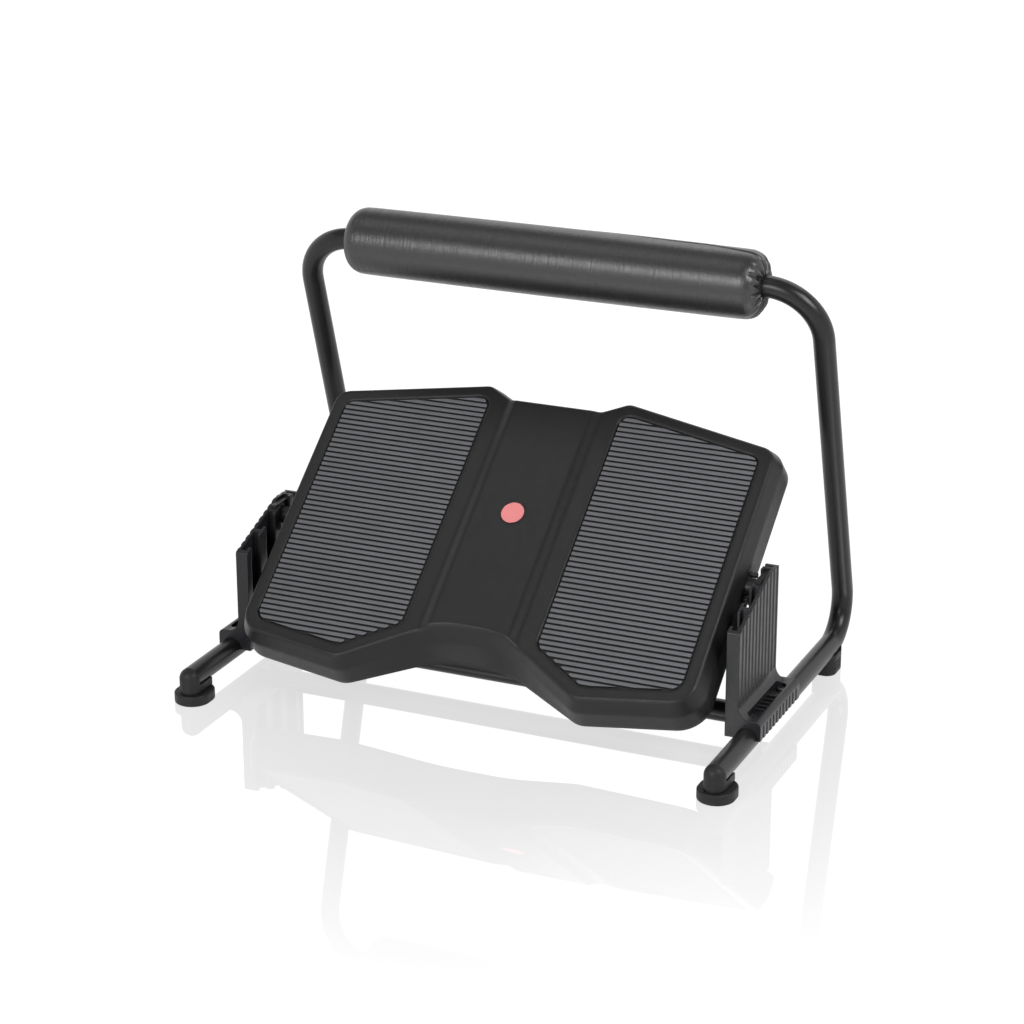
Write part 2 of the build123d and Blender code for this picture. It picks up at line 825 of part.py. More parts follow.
def roll_section(outer, half_length, end_radius, hem_x, hem_radius):
    """Half section of a roll about X: crowned top, round ends, ends drawn in to the tube."""
    shoulder = half_length - end_radius
    edge = outer - roll_crown
    flank = edge - end_radius
    corner = end_radius * cos(radians(45))
    corner_x = shoulder + corner
    corner_y = flank + corner
    top = ThreePointArc((-shoulder, edge), (0, outer), (shoulder, edge))
    right_round = ThreePointArc((shoulder, edge), (corner_x, corner_y), (half_length, flank))
    left_round = ThreePointArc((-half_length, flank), (-corner_x, corner_y), (-shoulder, edge))
    bottom = Polyline(
        (half_length, flank), (hem_x, hem_radius), (-hem_x, hem_radius), (-half_length, flank),
    )
    return make_face([left_round, top, right_round, bottom])


def turned(section):
    """Solid of revolution about the X axis, on the top bar."""
    return roll_place * revolve(Plane.XY * section, axis=Axis.X)


def roll_cover():
    """Leatherette cover, drawn in round the tube at both ends."""
    hem = tube_radius + soft_gap
    inner_radius = roll_radius - cover_thickness
    inner_half = roll_half_length - cover_thickness
    inner_end = roll_end_radius - cover_thickness
    hem_x = roll_half_length - roll_end_dimple
    outer = turned(roll_section(roll_radius, roll_half_length, roll_end_radius, hem_x, hem))
    inner_hem_x = hem_x - 2 * cover_thickness
    inner = turned(roll_section(inner_radius, inner_half, inner_end, inner_hem_x, hem))
    return outer - inner


def roll_foam():
    """Foam sleeve on the top bar."""
    radius = roll_radius - cover_thickness - soft_gap
    half = roll_half_length - foam_end_gap
    bore = tube_radius + running_fit
    return turned(roll_section(radius, half, foam_end_radius, half, bore))


def roll_elastics():
    """Elastic ring in each gathered end of the cover."""
    ring = Rot(0, 90, 0) * Torus(elastic_radius, elastic_diameter / 2)
    reach = roll_half_length - elastic_inset
    return [roll_place * Pos(side * reach, 0, 0) * ring for side in (-1, 1)]


# Every piece under its own name


def pieces():
    """Name and shape of each piece, with the left ones mirrored from the right."""
    named = {}
    sided = {
        "base_tube": base_tube(),
        "joint_sleeve": joint_sleeve(),
        "front_foot": front_foot(),
        "rear_foot": rear_foot(),
        "side_bracket": bracket(),
        "slide_block": slide_block(),
        "foot_pad": foot_pad(),
    }
    for name, part in sided.items():
        named["right_" + name] = part
        named["left_" + name] = mirrored(part)
    named["upper_hoop"] = upper_hoop()
    named["crossbar"] = crossbar()
    named["joint_screws"] = Compound(joint_screws())
    named["crossbar_screws"] = Compound(crossbar_screws())
    named["saddle_screws"] = Compound(saddle_screws())
    named["pivot_axle"] = axle()
    named["platform_shell"] = platform_shell()
    named["colour_disc"] = colour_disc()
    named["roll_foam"] = roll_foam()
    named["roll_cover"] = roll_cover()
    named["roll_elastics"] = Compound(roll_elastics())
    return named


os.makedirs("parts", exist_ok=True)
for piece_name, piece in pieces().items():
    export_step(piece, f"parts/{piece_name}.step")
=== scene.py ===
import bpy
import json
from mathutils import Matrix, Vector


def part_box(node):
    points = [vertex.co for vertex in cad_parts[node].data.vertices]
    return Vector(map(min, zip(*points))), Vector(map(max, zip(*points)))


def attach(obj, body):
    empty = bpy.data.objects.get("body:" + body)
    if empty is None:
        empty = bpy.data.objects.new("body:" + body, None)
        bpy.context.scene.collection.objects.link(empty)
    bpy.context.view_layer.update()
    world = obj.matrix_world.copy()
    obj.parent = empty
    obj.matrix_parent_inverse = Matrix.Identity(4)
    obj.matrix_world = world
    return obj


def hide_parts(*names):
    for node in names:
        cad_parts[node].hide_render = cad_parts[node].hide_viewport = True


bl_info = {
    "name": "Tilting footrest with leg roll",
    "version": (1, 0, 0),
    "blender": (4, 5, 0),
    "location": "3D View > Sidebar > Footrest",
    "description": "Finishes, ribbed pads, padded leg roll and studio of a tilting footrest",
    "category": "Object",
}

import json
import math

import bmesh
import bpy
import numpy as np
from mathutils import Matrix, Vector

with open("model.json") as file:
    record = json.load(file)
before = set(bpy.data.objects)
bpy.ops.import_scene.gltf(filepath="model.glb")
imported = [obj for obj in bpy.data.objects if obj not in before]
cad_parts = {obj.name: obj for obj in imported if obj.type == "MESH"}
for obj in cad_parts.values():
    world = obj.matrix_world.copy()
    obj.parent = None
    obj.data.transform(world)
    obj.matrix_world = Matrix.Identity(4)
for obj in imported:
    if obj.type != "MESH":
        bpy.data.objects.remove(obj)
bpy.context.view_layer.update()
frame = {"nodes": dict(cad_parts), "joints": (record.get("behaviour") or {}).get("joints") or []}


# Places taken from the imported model

def joint_place(name):
    """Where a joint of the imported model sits."""
    for joint in frame["joints"]:
        if joint["name"] == name:
            return Vector(joint["pos_m"])
    raise RuntimeError(f"the packed model has no joint {name}")


PIVOT = joint_place("platform_tilt")
ROLL_AXIS = joint_place("roll_spin")
ROLL_LOW, ROLL_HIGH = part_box("roll_cover")
ROLL_HALF_LENGTH = (ROLL_HIGH.x - ROLL_LOW.x) / 2
ROLL_RADIUS = (ROLL_HIGH.z - ROLL_LOW.z) / 2
TUBE_RADIUS = (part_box("right_base_tube")[1].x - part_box("right_base_tube")[0].x) / 2


# Settings a user would change

class FootrestPadSettings(bpy.types.PropertyGroup):
    """Ribbed foot pads, in the platform's own plane."""
    slope: bpy.props.FloatProperty(
        name="Slope", description="Slope of the platform as it stands",
        default=math.radians(38.2), subtype="ANGLE")
    top: bpy.props.FloatProperty(
        name="Top face", description="Height of the platform's top face above its pivot",
        default=0.0252, unit="LENGTH")
    recess: bpy.props.FloatProperty(
        name="Recess", description="Depth of the recess that holds a pad",
        default=0.003, unit="LENGTH")
    sheet: bpy.props.FloatProperty(
        name="Sheet", description="Thickness of the sheet under the ribs",
        default=0.0014, unit="LENGTH")
    proud: bpy.props.FloatProperty(
        name="Proud", description="How far the ribs stand above the top face",
        default=0.0003, unit="LENGTH")
    pitch: bpy.props.FloatProperty(
        name="Rib pitch", description="From one rib to the next",
        default=0.00546, unit="LENGTH")
    groove: bpy.props.FloatProperty(
        name="Groove", description="Gap between neighbouring ribs",
        default=0.0019, unit="LENGTH")
    rounding: bpy.props.FloatProperty(
        name="Rib rounding", description="Rounding along the ribs",
        default=0.0007, unit="LENGTH")
    border: bpy.props.FloatProperty(
        name="Border", description="Sheet left bare round the ribs",
        default=0.0009, unit="LENGTH")
    # Painted shade: this dark colour stands in for the shade in the grooves and on the sheet between the
    # ribs
    colour: bpy.props.FloatVectorProperty(
        name="Groove shade", description="Painted shade in the grooves of the pads",
        default=(0.012, 0.012, 0.0125), subtype="COLOR", min=0, max=1)
    # The rubber's own grey, shown on the tops of the ribs
    rib_grey: bpy.props.FloatVectorProperty(
        name="Rib top grey", description="Grey rubber of the rib tops",
        default=(0.112, 0.114, 0.122), subtype="COLOR", min=0, max=1)


class FootrestRollSettings(bpy.types.PropertyGroup):
    """Padded leg roll."""
    end_radius: bpy.props.FloatProperty(
        name="End rounding", description="Rounding of the roll's ends",
        default=0.016, unit="LENGTH")
    dimple: bpy.props.FloatProperty(
        name="End dimple", description="How far the hem is drawn in behind the end",
        default=0.0005, unit="LENGTH")
    crown: bpy.props.FloatProperty(
        name="Crown", description="How much fuller the middle is than the shoulders",
        default=0.0006, unit="LENGTH")
    slack: bpy.props.FloatProperty(
        name="Slack", description="Extra cloth that lets the folds puff up",
        default=0.06, min=0.0, max=0.5)
    pleats: bpy.props.IntProperty(
        name="Pleats", description="Folds round each end",
        default=21, min=6, max=30)
    pleat_depth: bpy.props.FloatProperty(
        name="Pleat depth", description="Depth of the deepest folds",
        default=0.0028, unit="LENGTH")
    swell: bpy.props.FloatProperty(
        name="Swell limit", description="How far a point may move while the cover fills out",
        default=0.0015, unit="LENGTH")
    start_gap: bpy.props.FloatProperty(
        name="Start gap", description="How much smaller the cover starts",
        default=0.0009, unit="LENGTH")
    seam_depth: bpy.props.FloatProperty(
        name="Seam depth", description="Depth of the seam along the roll",
        default=0.0008, unit="LENGTH")
    colour: bpy.props.FloatVectorProperty(
        name="Cover colour", description="Black leatherette",
        default=(0.012, 0.012, 0.0125), subtype="COLOR", min=0, max=1)


class FootrestFinishSettings(bpy.types.PropertyGroup):
    """Colours of the frame and the mouldings."""
    tube: bpy.props.FloatVectorProperty(
        name="Tube", description="Satin black powder coat",
        default=(0.010, 0.010, 0.0105), subtype="COLOR", min=0, max=1)
    platform: bpy.props.FloatVectorProperty(
        name="Platform", description="Black moulded platform",
        default=(0.011, 0.011, 0.0115), subtype="COLOR", min=0, max=1)
    bracket: bpy.props.FloatVectorProperty(
        name="Brackets", description="Dark grey moulded brackets",
        default=(0.0145, 0.0150, 0.0168), subtype="COLOR", min=0, max=1)
    rubber: bpy.props.FloatVectorProperty(
        name="Feet", description="Black rubber feet",
        default=(0.011, 0.011, 0.011), subtype="COLOR", min=0, max=1)
    disc: bpy.props.FloatVectorProperty(
        name="Disc", description="Coral disc on the middle band",
        default=(0.70, 0.222, 0.222), subtype="COLOR", min=0, max=1)
    steel: bpy.props.FloatVectorProperty(
        name="Steel", description="Bright zinc of the axle",
        default=(0.55, 0.55, 0.56), subtype="COLOR", min=0, max=1)
    screws: bpy.props.FloatVectorProperty(
        name="Screws", description="Black oxide of the screws",
        default=(0.075, 0.075, 0.08), subtype="COLOR", min=0, max=1)


class FootrestStageSettings(bpy.types.PropertyGroup):
    """Camera, lights and floor."""
    yaw: bpy.props.FloatProperty(
        name="Yaw", description="How far the camera stands to the right",
        default=math.radians(24.05), subtype="ANGLE")
    pitch: bpy.props.FloatProperty(
        name="Pitch", description="How far the camera looks down",
        default=math.radians(20.19), subtype="ANGLE")
    roll: bpy.props.FloatProperty(
        name="Roll", description="Turn of the camera about its own view",
        default=math.radians(-0.14), subtype="ANGLE")
    place: bpy.props.FloatVectorProperty(
        name="Camera", description="Where the camera stands",
        default=(0.9996, -2.2595, 1.0740), subtype="TRANSLATION", unit="LENGTH")
    lens: bpy.props.FloatProperty(
        name="Lens", description="Focal length in millimetres on a 36 mm frame",
        default=101.29)
    floor_radius: bpy.props.FloatProperty(
        name="Floor", description="Radius of the floor", default=9.0, unit="LENGTH")
    wall_height: bpy.props.FloatProperty(
        name="Wall", description="Height of the white wall behind the object", default=6.5, unit="LENGTH")
    edge_height: bpy.props.FloatProperty(
        name="Edge", description="Height of the white edge before the object", default=0.8, unit="LENGTH")
    ambient: bpy.props.FloatProperty(
        name="Ambient", description="Level of the room's even light", default=0.26, min=0.0)


# Small helpers for node trees

def add_node(tree, kind, place, **sockets):
    """One node with plain values on its sockets."""
    node = tree.nodes.new(kind)
    node.location = place
    for name, value in sockets.items():
        node.inputs[name.replace("_", " ")].default_value = value
    return node


def empty_material(name):
    """Material with nothing but its output."""
    material = bpy.data.materials.new(name)
    material.use_nodes = True
    tree = material.node_tree
    tree.nodes.clear()
    output = add_node(tree, "ShaderNodeOutputMaterial", (900, 0))
    return material, tree, output


def new_finish(name):
    """Material with its shader wired to the output."""
    material, tree, output = empty_material(name)
    shader = add_node(tree, "ShaderNodeBsdfPrincipled", (600, 0))
    tree.links.new(shader.outputs["BSDF"], output.inputs["Surface"])
    return material, tree, shader


def object_space(tree, stretch=(1.0, 1.0, 1.0)):
    """Object coordinates, stretched along the axes."""
    coords = add_node(tree, "ShaderNodeTexCoord", (-1100, 0))
    mapping = add_node(tree, "ShaderNodeMapping", (-900, 0))
    mapping.inputs["Scale"].default_value = stretch
    tree.links.new(coords.outputs["Object"], mapping.inputs["Vector"])
    return mapping.outputs["Vector"]


def grain(tree, vector, scale, detail=3.0, roughness=0.5, place=(-650, 0)):
    """Noise pattern at a scale per metre."""
    node = add_node(tree, "ShaderNodeTexNoise", place, Scale=scale, Detail=detail, Roughness=roughness)
    tree.links.new(vector, node.inputs["Vector"])
    return node.outputs["Fac"]


def mapped(tree, value, source, target, place, smooth=False):
    """Value mapped from one range to another."""
    node = add_node(tree, "ShaderNodeMapRange", place, From_Min=source[0], From_Max=source[1],
                    To_Min=target[0], To_Max=target[1])
    if smooth:
        node.interpolation_type = "SMOOTHSTEP"
    tree.links.new(value, node.inputs["Value"])
    return node.outputs["Result"]


def spread(tree, value, low, high):
    """Usual range of a noise pattern mapped between two values."""
    return mapped(tree, value, (0.3, 0.7), (low, high), (-400, -200))


def colour_mix(tree, value, place):
    """Node that mixes two colours by a value."""
    node = add_node(tree, "ShaderNodeMix", place)
    node.data_type = "RGBA"
    tree.links.new(value, node.inputs["Factor"])
    return node


def tint(tree, value, colour, darker, lighter):
    """Colour that drifts between a darker and a lighter shade."""
    node = colour_mix(tree, value, (-150, 200))
    node.inputs["A"].default_value = (*[c * darker for c in colour], 1)
    node.inputs["B"].default_value = (*[min(c * lighter, 1) for c in colour], 1)
    return node.outputs["Result"]


def emboss(tree, height, strength, distance, under=None, place=(300, -400)):
    """Bump of a height pattern, on top of an earlier one."""
    node = add_node(tree, "ShaderNodeBump", place, Strength=strength, Distance=distance)
    tree.links.new(height, node.inputs["Height"])
    if under is not None:
        tree.links.new(under, node.inputs["Normal"])
    return node.outputs["Normal"]


# Finishes

def moulded_finish(name, colour, rough_low, rough_high, grain_scale, grain_strength, drift=0.18, edge=0.0):
    """Moulded plastic or rubber with a fine spark-eroded grain and softened edges."""
    material, tree, shader = new_finish(name)
    space = object_space(tree)
    cloudy = grain(tree, space, 38.0, 4.0, 0.6, (-650, 300))
    fine = grain(tree, space, grain_scale, 2.0, 0.55, (-650, -100))
    flow = grain(tree, space, 160.0, 3.0, 0.6, (-650, -400))
    links = tree.links
    links.new(tint(tree, cloudy, colour, 1 - drift, 1 + drift), shader.inputs["Base Color"])
    links.new(spread(tree, flow, rough_low, rough_high), shader.inputs["Roughness"])
    softened = None
    if edge:
        bevel = add_node(tree, "ShaderNodeBevel", (-200, -700), Radius=edge)
        bevel.samples = 12
        softened = bevel.outputs["Normal"]
    low = emboss(tree, flow, 0.05, 0.0006, softened, (100, -500))
    links.new(emboss(tree, fine, grain_strength, 0.0003, low), shader.inputs["Normal"])
    shader.inputs["IOR"].default_value = 1.37
    return material


# Depths below the rib tops: painted groove shade is full below the first and gone above the second
FULL_SHADE_DEPTH = 0.0011
NO_SHADE_DEPTH = 0.0002


def tread_finish(name, settings):
    """Grey rubber of the ribs, with painted shade below the rib tops that darkens the grooves and the
    sheet.
    """
    material = moulded_finish(name, settings.rib_grey, 0.42, 0.55, 1500.0, 0.12)
    tree = material.node_tree
    links = tree.links
    shader = next(node for node in tree.nodes if node.type == "BSDF_PRINCIPLED")
    rib_grey = shader.inputs["Base Color"].links[0].from_socket
    level = Matrix.Rotation(-settings.slope, 3, "X")
    where = add_node(tree, "ShaderNodeTexCoord", (-1250, 700))
    flat = add_node(tree, "ShaderNodeMapping", (-1050, 700))
    flat.inputs["Location"].default_value = -(level @ PIVOT)
    flat.inputs["Rotation"].default_value = (-settings.slope, 0, 0)
    links.new(where.outputs["Object"], flat.inputs["Vector"])
    parts = add_node(tree, "ShaderNodeSeparateXYZ", (-850, 700))
    links.new(flat.outputs["Vector"], parts.inputs["Vector"])
    rib_top = settings.top + settings.proud
    depths = (rib_top - FULL_SHADE_DEPTH, rib_top - NO_SHADE_DEPTH)
    # Painted shade: groove colour deep below the rib tops, the rubber's grey at the tops
    unshaded = mapped(tree, parts.outputs["Z"], depths, (0.0, 1.0), (-650, 700), smooth=True)
    both = colour_mix(tree, unshaded, (100, 500))
    both.inputs["A"].default_value = (*settings.colour, 1)
    links.new(rib_grey, both.inputs["B"])
    links.new(both.outputs["Result"], shader.inputs["Base Color"])
    return material


def powder_coat_finish(name, colour):
    """Satin powder coat with a slight orange peel."""
    material, tree, shader = new_finish(name)
    space = object_space(tree)
    cloudy = grain(tree, space, 24.0, 4.0, 0.6, (-650, 300))
    peel = grain(tree, space, 620.0, 2.0, 0.5, (-650, -100))
    handled = grain(tree, space, 90.0, 5.0, 0.65, (-650, -400))
    links = tree.links
    links.new(tint(tree, cloudy, colour, 0.85, 1.2), shader.inputs["Base Color"])
    links.new(spread(tree, handled, 0.28, 0.34), shader.inputs["Roughness"])
    links.new(emboss(tree, peel, 0.03, 0.0003), shader.inputs["Normal"])
    shader.inputs["IOR"].default_value = 1.40
    return material


def metal_finish(name, colour, rough_low, rough_high, stretch):
    """Drawn or turned steel with fine lines."""
    material, tree, shader = new_finish(name)
    space = object_space(tree, stretch)
    lines = grain(tree, space, 900.0, 3.0, 0.6, (-650, 200))
    cloudy = grain(tree, object_space(tree), 70.0, 4.0, 0.6, (-650, -300))
    links = tree.links
    links.new(tint(tree, cloudy, colour, 0.8, 1.15), shader.inputs["Base Color"])
    links.new(spread(tree, lines, rough_low, rough_high), shader.inputs["Roughness"])
    links.new(emboss(tree, lines, 0.08, 0.0002), shader.inputs["Normal"])
    shader.inputs["Metallic"].default_value = 1.0
    return material


def leatherette_finish(name, colour):
    """Soft black leatherette: pebbled grain and fine stretch creases round the roll."""
    material, tree, shader = new_finish(name)
    space = object_space(tree)
    cloudy = grain(tree, space, 30.0, 4.0, 0.6, (-650, 400))
    pebbles = add_node(tree, "ShaderNodeTexVoronoi", (-650, -50), Scale=780.0)
    pebbles.feature = "DISTANCE_TO_EDGE"
    tree.links.new(space, pebbles.inputs["Vector"])
    valleys = mapped(tree, pebbles.outputs["Distance"], (0.0, 0.16), (0.0, 1.0), (-400, -50))
    creases = grain(tree, object_space(tree, (17.0, 1.0, 1.0)), 30.0, 4.0, 0.6, (-650, -350))
    links = tree.links
    links.new(tint(tree, cloudy, colour, 0.85, 1.2), shader.inputs["Base Color"])
    links.new(spread(tree, creases, 0.30, 0.39), shader.inputs["Roughness"])
    soft = emboss(tree, creases, 0.5, 0.0010, None, (100, -500))
    links.new(emboss(tree, valleys, 0.10, 0.0002, soft), shader.inputs["Normal"])
    shader.inputs["IOR"].default_value = 1.64
    shader.inputs["Sheen Weight"].default_value = 0.06
    shader.inputs["Sheen Roughness"].default_value = 0.35
    return material


def dress(node_name, material):
    """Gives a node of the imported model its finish."""
    mesh = frame["nodes"][node_name].data
    mesh.materials.clear()
    mesh.materials.append(material)


# Meshes

def new_piece(name, mesh, material):
    """Object at the origin with its place in its mesh."""
    mesh.name = name
    mesh.materials.clear()
    mesh.materials.append(material)
    piece = bpy.data.objects.new(name, mesh)
    bpy.context.scene.collection.objects.link(piece)
    return piece


def plain_mesh(source):
    """Mesh of an object with its modifiers applied."""
    depsgraph = bpy.context.evaluated_depsgraph_get()
    return bpy.data.meshes.new_from_object(source.evaluated_get(depsgraph))


def drop_object(source):
    """Removes a helper object and its mesh."""
    mesh = source.data
    bpy.data.objects.remove(source)
    bpy.data.meshes.remove(mesh)


def grid_mesh(name, rings, closed_ends=False):
    """Closed tube of quads through equal rings of points."""
    count = len(rings[0])
    points = [tuple(p) for ring in rings for p in ring]
    faces = []
    for i in range(len(rings) - 1):
        for j in range(count):
            k = (j + 1) % count
            faces.append((i * count + j, i * count + k, (i + 1) * count + k, (i + 1) * count + j))
    if closed_ends:
        faces.append(tuple(reversed(range(count))))
        faces.append(tuple(range((len(rings) - 1) * count, len(rings) * count)))
    mesh = bpy.data.meshes.new(name)
    mesh.from_pydata(points, [], faces)
    mesh.validate()
    return mesh


def face_outwards(mesh):
    """Merges doubles and turns every face outwards."""
    work = bmesh.new()
    work.from_mesh(mesh)
    bmesh.ops.remove_doubles(work, verts=work.verts, dist=1e-6)
    bmesh.ops.recalc_face_normals(work, faces=work.faces)
    work.to_mesh(mesh)
    work.free()


def shade_smooth(mesh, angle):
    """Smooth shading with edges kept where faces turn by more than an angle."""
    mesh.shade_smooth()
    mesh.set_sharp_from_angle(angle=angle)


# Ribbed foot pads

# Corners of the right wing's top face, in the platform's plane
WING_CORNERS = (
    (0.0538, 0.1601),
    (0.0538, -0.11217),
    (0.1155, -0.1495),
    (0.2195, -0.1350),
    (0.2195, 0.1285),
)
PAD_MARGIN = 0.012          # pad inside the wing's edge
PAD_RADII = (0.010, 0.012, 0.008, 0.013, 0.009)
SHEET_EDGE = 0.0003         # softened rim of the sheet
RIB_SPARE = 0.00003         # keeps the ribs' tops off the top of their space
RIM_STEPS = 4
SMOOTH_ANGLE = math.radians(35)
FEWEST_FACES = 500          # of a pad whose ribs have come out
# Where a rib's length is measured across its width, in half widths
RIB_PROBES = (-0.98, -0.5, 0.0, 0.5, 0.98)
# Steps in from a rib's end, in roundings, and how full the rib is there
RIB_END = ((0.0, 0.80), (0.4, 0.93), (1.2, 1.0))


def moved_in(points, distance):
    """Counter-clockwise polygon with every side moved inwards."""
    result = []
    for i, here in enumerate(points):
        before = (here - points[i - 1]).normalized()
        after = (points[(i + 1) % len(points)] - here).normalized()
        inside_before = Vector((-before.y, before.x))
        inside_after = Vector((-after.y, after.x))
        shift = (inside_before + inside_after) * (distance / (1 + inside_before.dot(inside_after)))
        result.append(here + shift)
    return result


def rounded(points, radii, steps=7):
    """Polygon with every corner replaced by an arc."""
    result = []
    for i, here in enumerate(points):
        before = (points[i - 1] - here).normalized()
        after = (points[(i + 1) % len(points)] - here).normalized()
        half = before.angle(after) / 2
        centre = here + (before + after).normalized() * (radii[i] / math.sin(half))
        start = here + before * (radii[i] / math.tan(half)) - centre
        end = here + after * (radii[i] / math.tan(half)) - centre
        turn = start.angle_signed(end)
        for k in range(steps + 1):
            angle = -turn * k / steps
            result.append(centre + Matrix.Rotation(angle, 2) @ start)
    return result


def pad_corners():
    """Corners of the right pad in the platform's plane."""
    return moved_in([Vector(corner) for corner in WING_CORNERS], PAD_MARGIN)


def pad_ring(inset, height):
    """Rounded outline of the right pad at a height above the pivot."""
    corners = moved_in(pad_corners(), inset) if inset else pad_corners()
    radii = [radius - inset for radius in PAD_RADII]
    return [Vector((p.x, p.y, height)) for p in rounded(corners, radii)]


def pad_sheet_mesh(settings):
    """Flat sheet under the ribs, with a softened rim."""
    low = settings.top - settings.recess
    high = low + settings.sheet
    rings = [
        pad_ring(SHEET_EDGE, low),
        pad_ring(0, low + SHEET_EDGE),
        pad_ring(0, high - SHEET_EDGE),
        pad_ring(SHEET_EDGE, high),
    ]
    return grid_mesh("pad_sheet", rings, True)


def rib_envelope_mesh(settings):
    """Space the ribs fill: the pad's outline with its upper rim rounded over."""
    low = settings.top - settings.recess + settings.sheet / 2
    high = settings.top + settings.proud
    soft = settings.rounding
    rings = [pad_ring(settings.border, low)]
    for k in range(RIM_STEPS + 1):
        angle = math.radians(90) * k / RIM_STEPS
        inset = settings.border + soft * (1 - math.cos(angle))
        rings.append(pad_ring(inset, high - soft + soft * math.sin(angle)))
    return grid_mesh("rib_envelope", rings, True)


def across_at(outline, y):
    """Lowest and highest x of an outline at a height y, or nothing where it isn't crossed."""
    found = []
    for (ax, ay), (bx, by) in zip(outline, outline[1:] + outline[:1]):
        if (ay - y) * (by - y) < 0:
            found.append(ax + (bx - ax) * (y - ay) / (by - ay))
    return (min(found), max(found)) if found else None


def rib_lines_mesh(settings):
    """Middle line of each rib, with square inner ends and a fullness that rounds both ends off."""
    outline = [(p.x, p.y) for p in pad_ring(settings.border, 0.0)]
    low_y = min(y for x, y in outline)
    high_y = max(y for x, y in outline)
    count = int((high_y - low_y) / settings.pitch) + 1
    first = (low_y + high_y) / 2 - (count - 1) / 2 * settings.pitch
    half = (settings.pitch - settings.groove) / 2
    high = settings.top + settings.proud
    low = settings.top - settings.recess + settings.sheet / 4
    height = (high + low) / 2
    points, edges, fullness = [], [], []
    for k in range(count):
        y = first + k * settings.pitch
        spans = [across_at(outline, y + half * share) for share in RIB_PROBES]
        middle = spans[RIB_PROBES.index(0.0)]
        spans = [span for span in spans if span]
        if not spans:
            continue
        left = middle[0] if middle else min(span[0] for span in spans)
        right = max(span[1] for span in spans)
        if right - left < 4 * settings.rounding:
            continue
        start = len(points)
        for step, full in RIB_END:
            points.append((left + step * settings.rounding, y, height))
            fullness.append(full)
        for step, full in reversed(RIB_END):
            points.append((right - step * settings.rounding, y, height))
            fullness.append(full)
        edges.extend((j, j + 1) for j in range(start, len(points) - 1))
    mesh = bpy.data.meshes.new("rib_lines")
    mesh.from_pydata(points, edges, [])
    mesh.attributes.new("fullness", "FLOAT", "POINT").data.foreach_set("value", fullness)
    return mesh


def rib_tree(material):
    """Node tree: a rounded bar along each line that comes in, kept inside the pad's space."""
    tree = bpy.data.node_groups.new("pad_ribs", "GeometryNodeTree")
    face = tree.interface
    face.new_socket("Rib Lines", in_out="INPUT", socket_type="NodeSocketGeometry")
    face.new_socket("Envelope", in_out="INPUT", socket_type="NodeSocketObject")
    for name in ("Width", "Height", "Rounding"):
        face.new_socket(name, in_out="INPUT", socket_type="NodeSocketFloat")
    face.new_socket("Ribs", in_out="OUTPUT", socket_type="NodeSocketGeometry")
    given = add_node(tree, "NodeGroupInput", (-1000, 0))
    result = add_node(tree, "NodeGroupOutput", (1000, 0))
    links = tree.links

    spines = add_node(tree, "GeometryNodeMeshToCurve", (-700, 150))
    links.new(given.outputs["Rib Lines"], spines.inputs["Mesh"])
    profile = add_node(tree, "GeometryNodeCurvePrimitiveQuadrilateral", (-700, -150))
    links.new(given.outputs["Width"], profile.inputs["Width"])
    links.new(given.outputs["Height"], profile.inputs["Height"])
    soft = add_node(tree, "GeometryNodeFilletCurve", (-500, -150))
    soft.mode = "POLY"
    soft.inputs["Count"].default_value = 4
    links.new(profile.outputs["Curve"], soft.inputs["Curve"])
    links.new(given.outputs["Rounding"], soft.inputs["Radius"])
    full = add_node(tree, "GeometryNodeInputNamedAttribute", (-500, -400), Name="fullness")
    bars = add_node(tree, "GeometryNodeCurveToMesh", (-250, 100))
    bars.inputs["Fill Caps"].default_value = True
    links.new(spines.outputs["Curve"], bars.inputs["Curve"])
    links.new(soft.outputs["Curve"], bars.inputs["Profile Curve"])
    links.new(full.outputs["Attribute"], bars.inputs["Scale"])

    space = add_node(tree, "GeometryNodeObjectInfo", (-250, -250))
    links.new(given.outputs["Envelope"], space.inputs["Object"])
    cut = add_node(tree, "GeometryNodeMeshBoolean", (100, 0))
    cut.operation = "INTERSECT"
    cut.solver = "EXACT"
    links.new(space.outputs["Geometry"], cut.inputs["Mesh 2"])
    links.new(bars.outputs["Mesh"], cut.inputs["Mesh 2"])
    whole = add_node(tree, "GeometryNodeRealizeInstances", (400, 0))
    links.new(cut.outputs["Mesh"], whole.inputs["Geometry"])
    finish = add_node(tree, "GeometryNodeSetMaterial", (700, 0))
    finish.inputs["Material"].default_value = material
    links.new(whole.outputs["Geometry"], finish.inputs["Geometry"])
    links.new(finish.outputs["Geometry"], result.inputs["Ribs"])
    return tree


def set_inputs(modifier, tree, values):
    """Sets a modifier's inputs by their sockets' identifiers."""
    for item in tree.interface.items_tree:
        if item.item_type == "SOCKET" and item.in_out == "INPUT" and item.name in values:
            modifier[item.identifier] = values[item.name]


def right_pad_mesh(settings, material):
    """Sheet and ribs of the right pad in the platform's plane."""
    sheet = pad_sheet_mesh(settings)
    face_outwards(sheet)
    space = rib_envelope_mesh(settings)
    face_outwards(space)
    envelope = bpy.data.objects.new("rib_envelope", space)
    carrier = bpy.data.objects.new("rib_lines", rib_lines_mesh(settings))
    for helper in (envelope, carrier):
        bpy.context.scene.collection.objects.link(helper)
    tree = rib_tree(material)
    modifier = carrier.modifiers.new("ribs", "NODES")
    modifier.node_group = tree
    set_inputs(modifier, tree, {
        "Envelope": envelope,
        "Width": settings.pitch - settings.groove,
        "Height": settings.recess - settings.sheet / 4 + settings.proud - RIB_SPARE,
        "Rounding": settings.rounding,
    })
    ribs = plain_mesh(carrier)
    carrier.modifiers.remove(modifier)
    drop_object(carrier)
    drop_object(envelope)
    work = bmesh.new()
    work.from_mesh(sheet)
    work.from_mesh(ribs)
    mesh = bpy.data.meshes.new("right_pad")
    work.to_mesh(mesh)
    work.free()
    bpy.data.meshes.remove(sheet)
    bpy.data.meshes.remove(ribs)
    return mesh


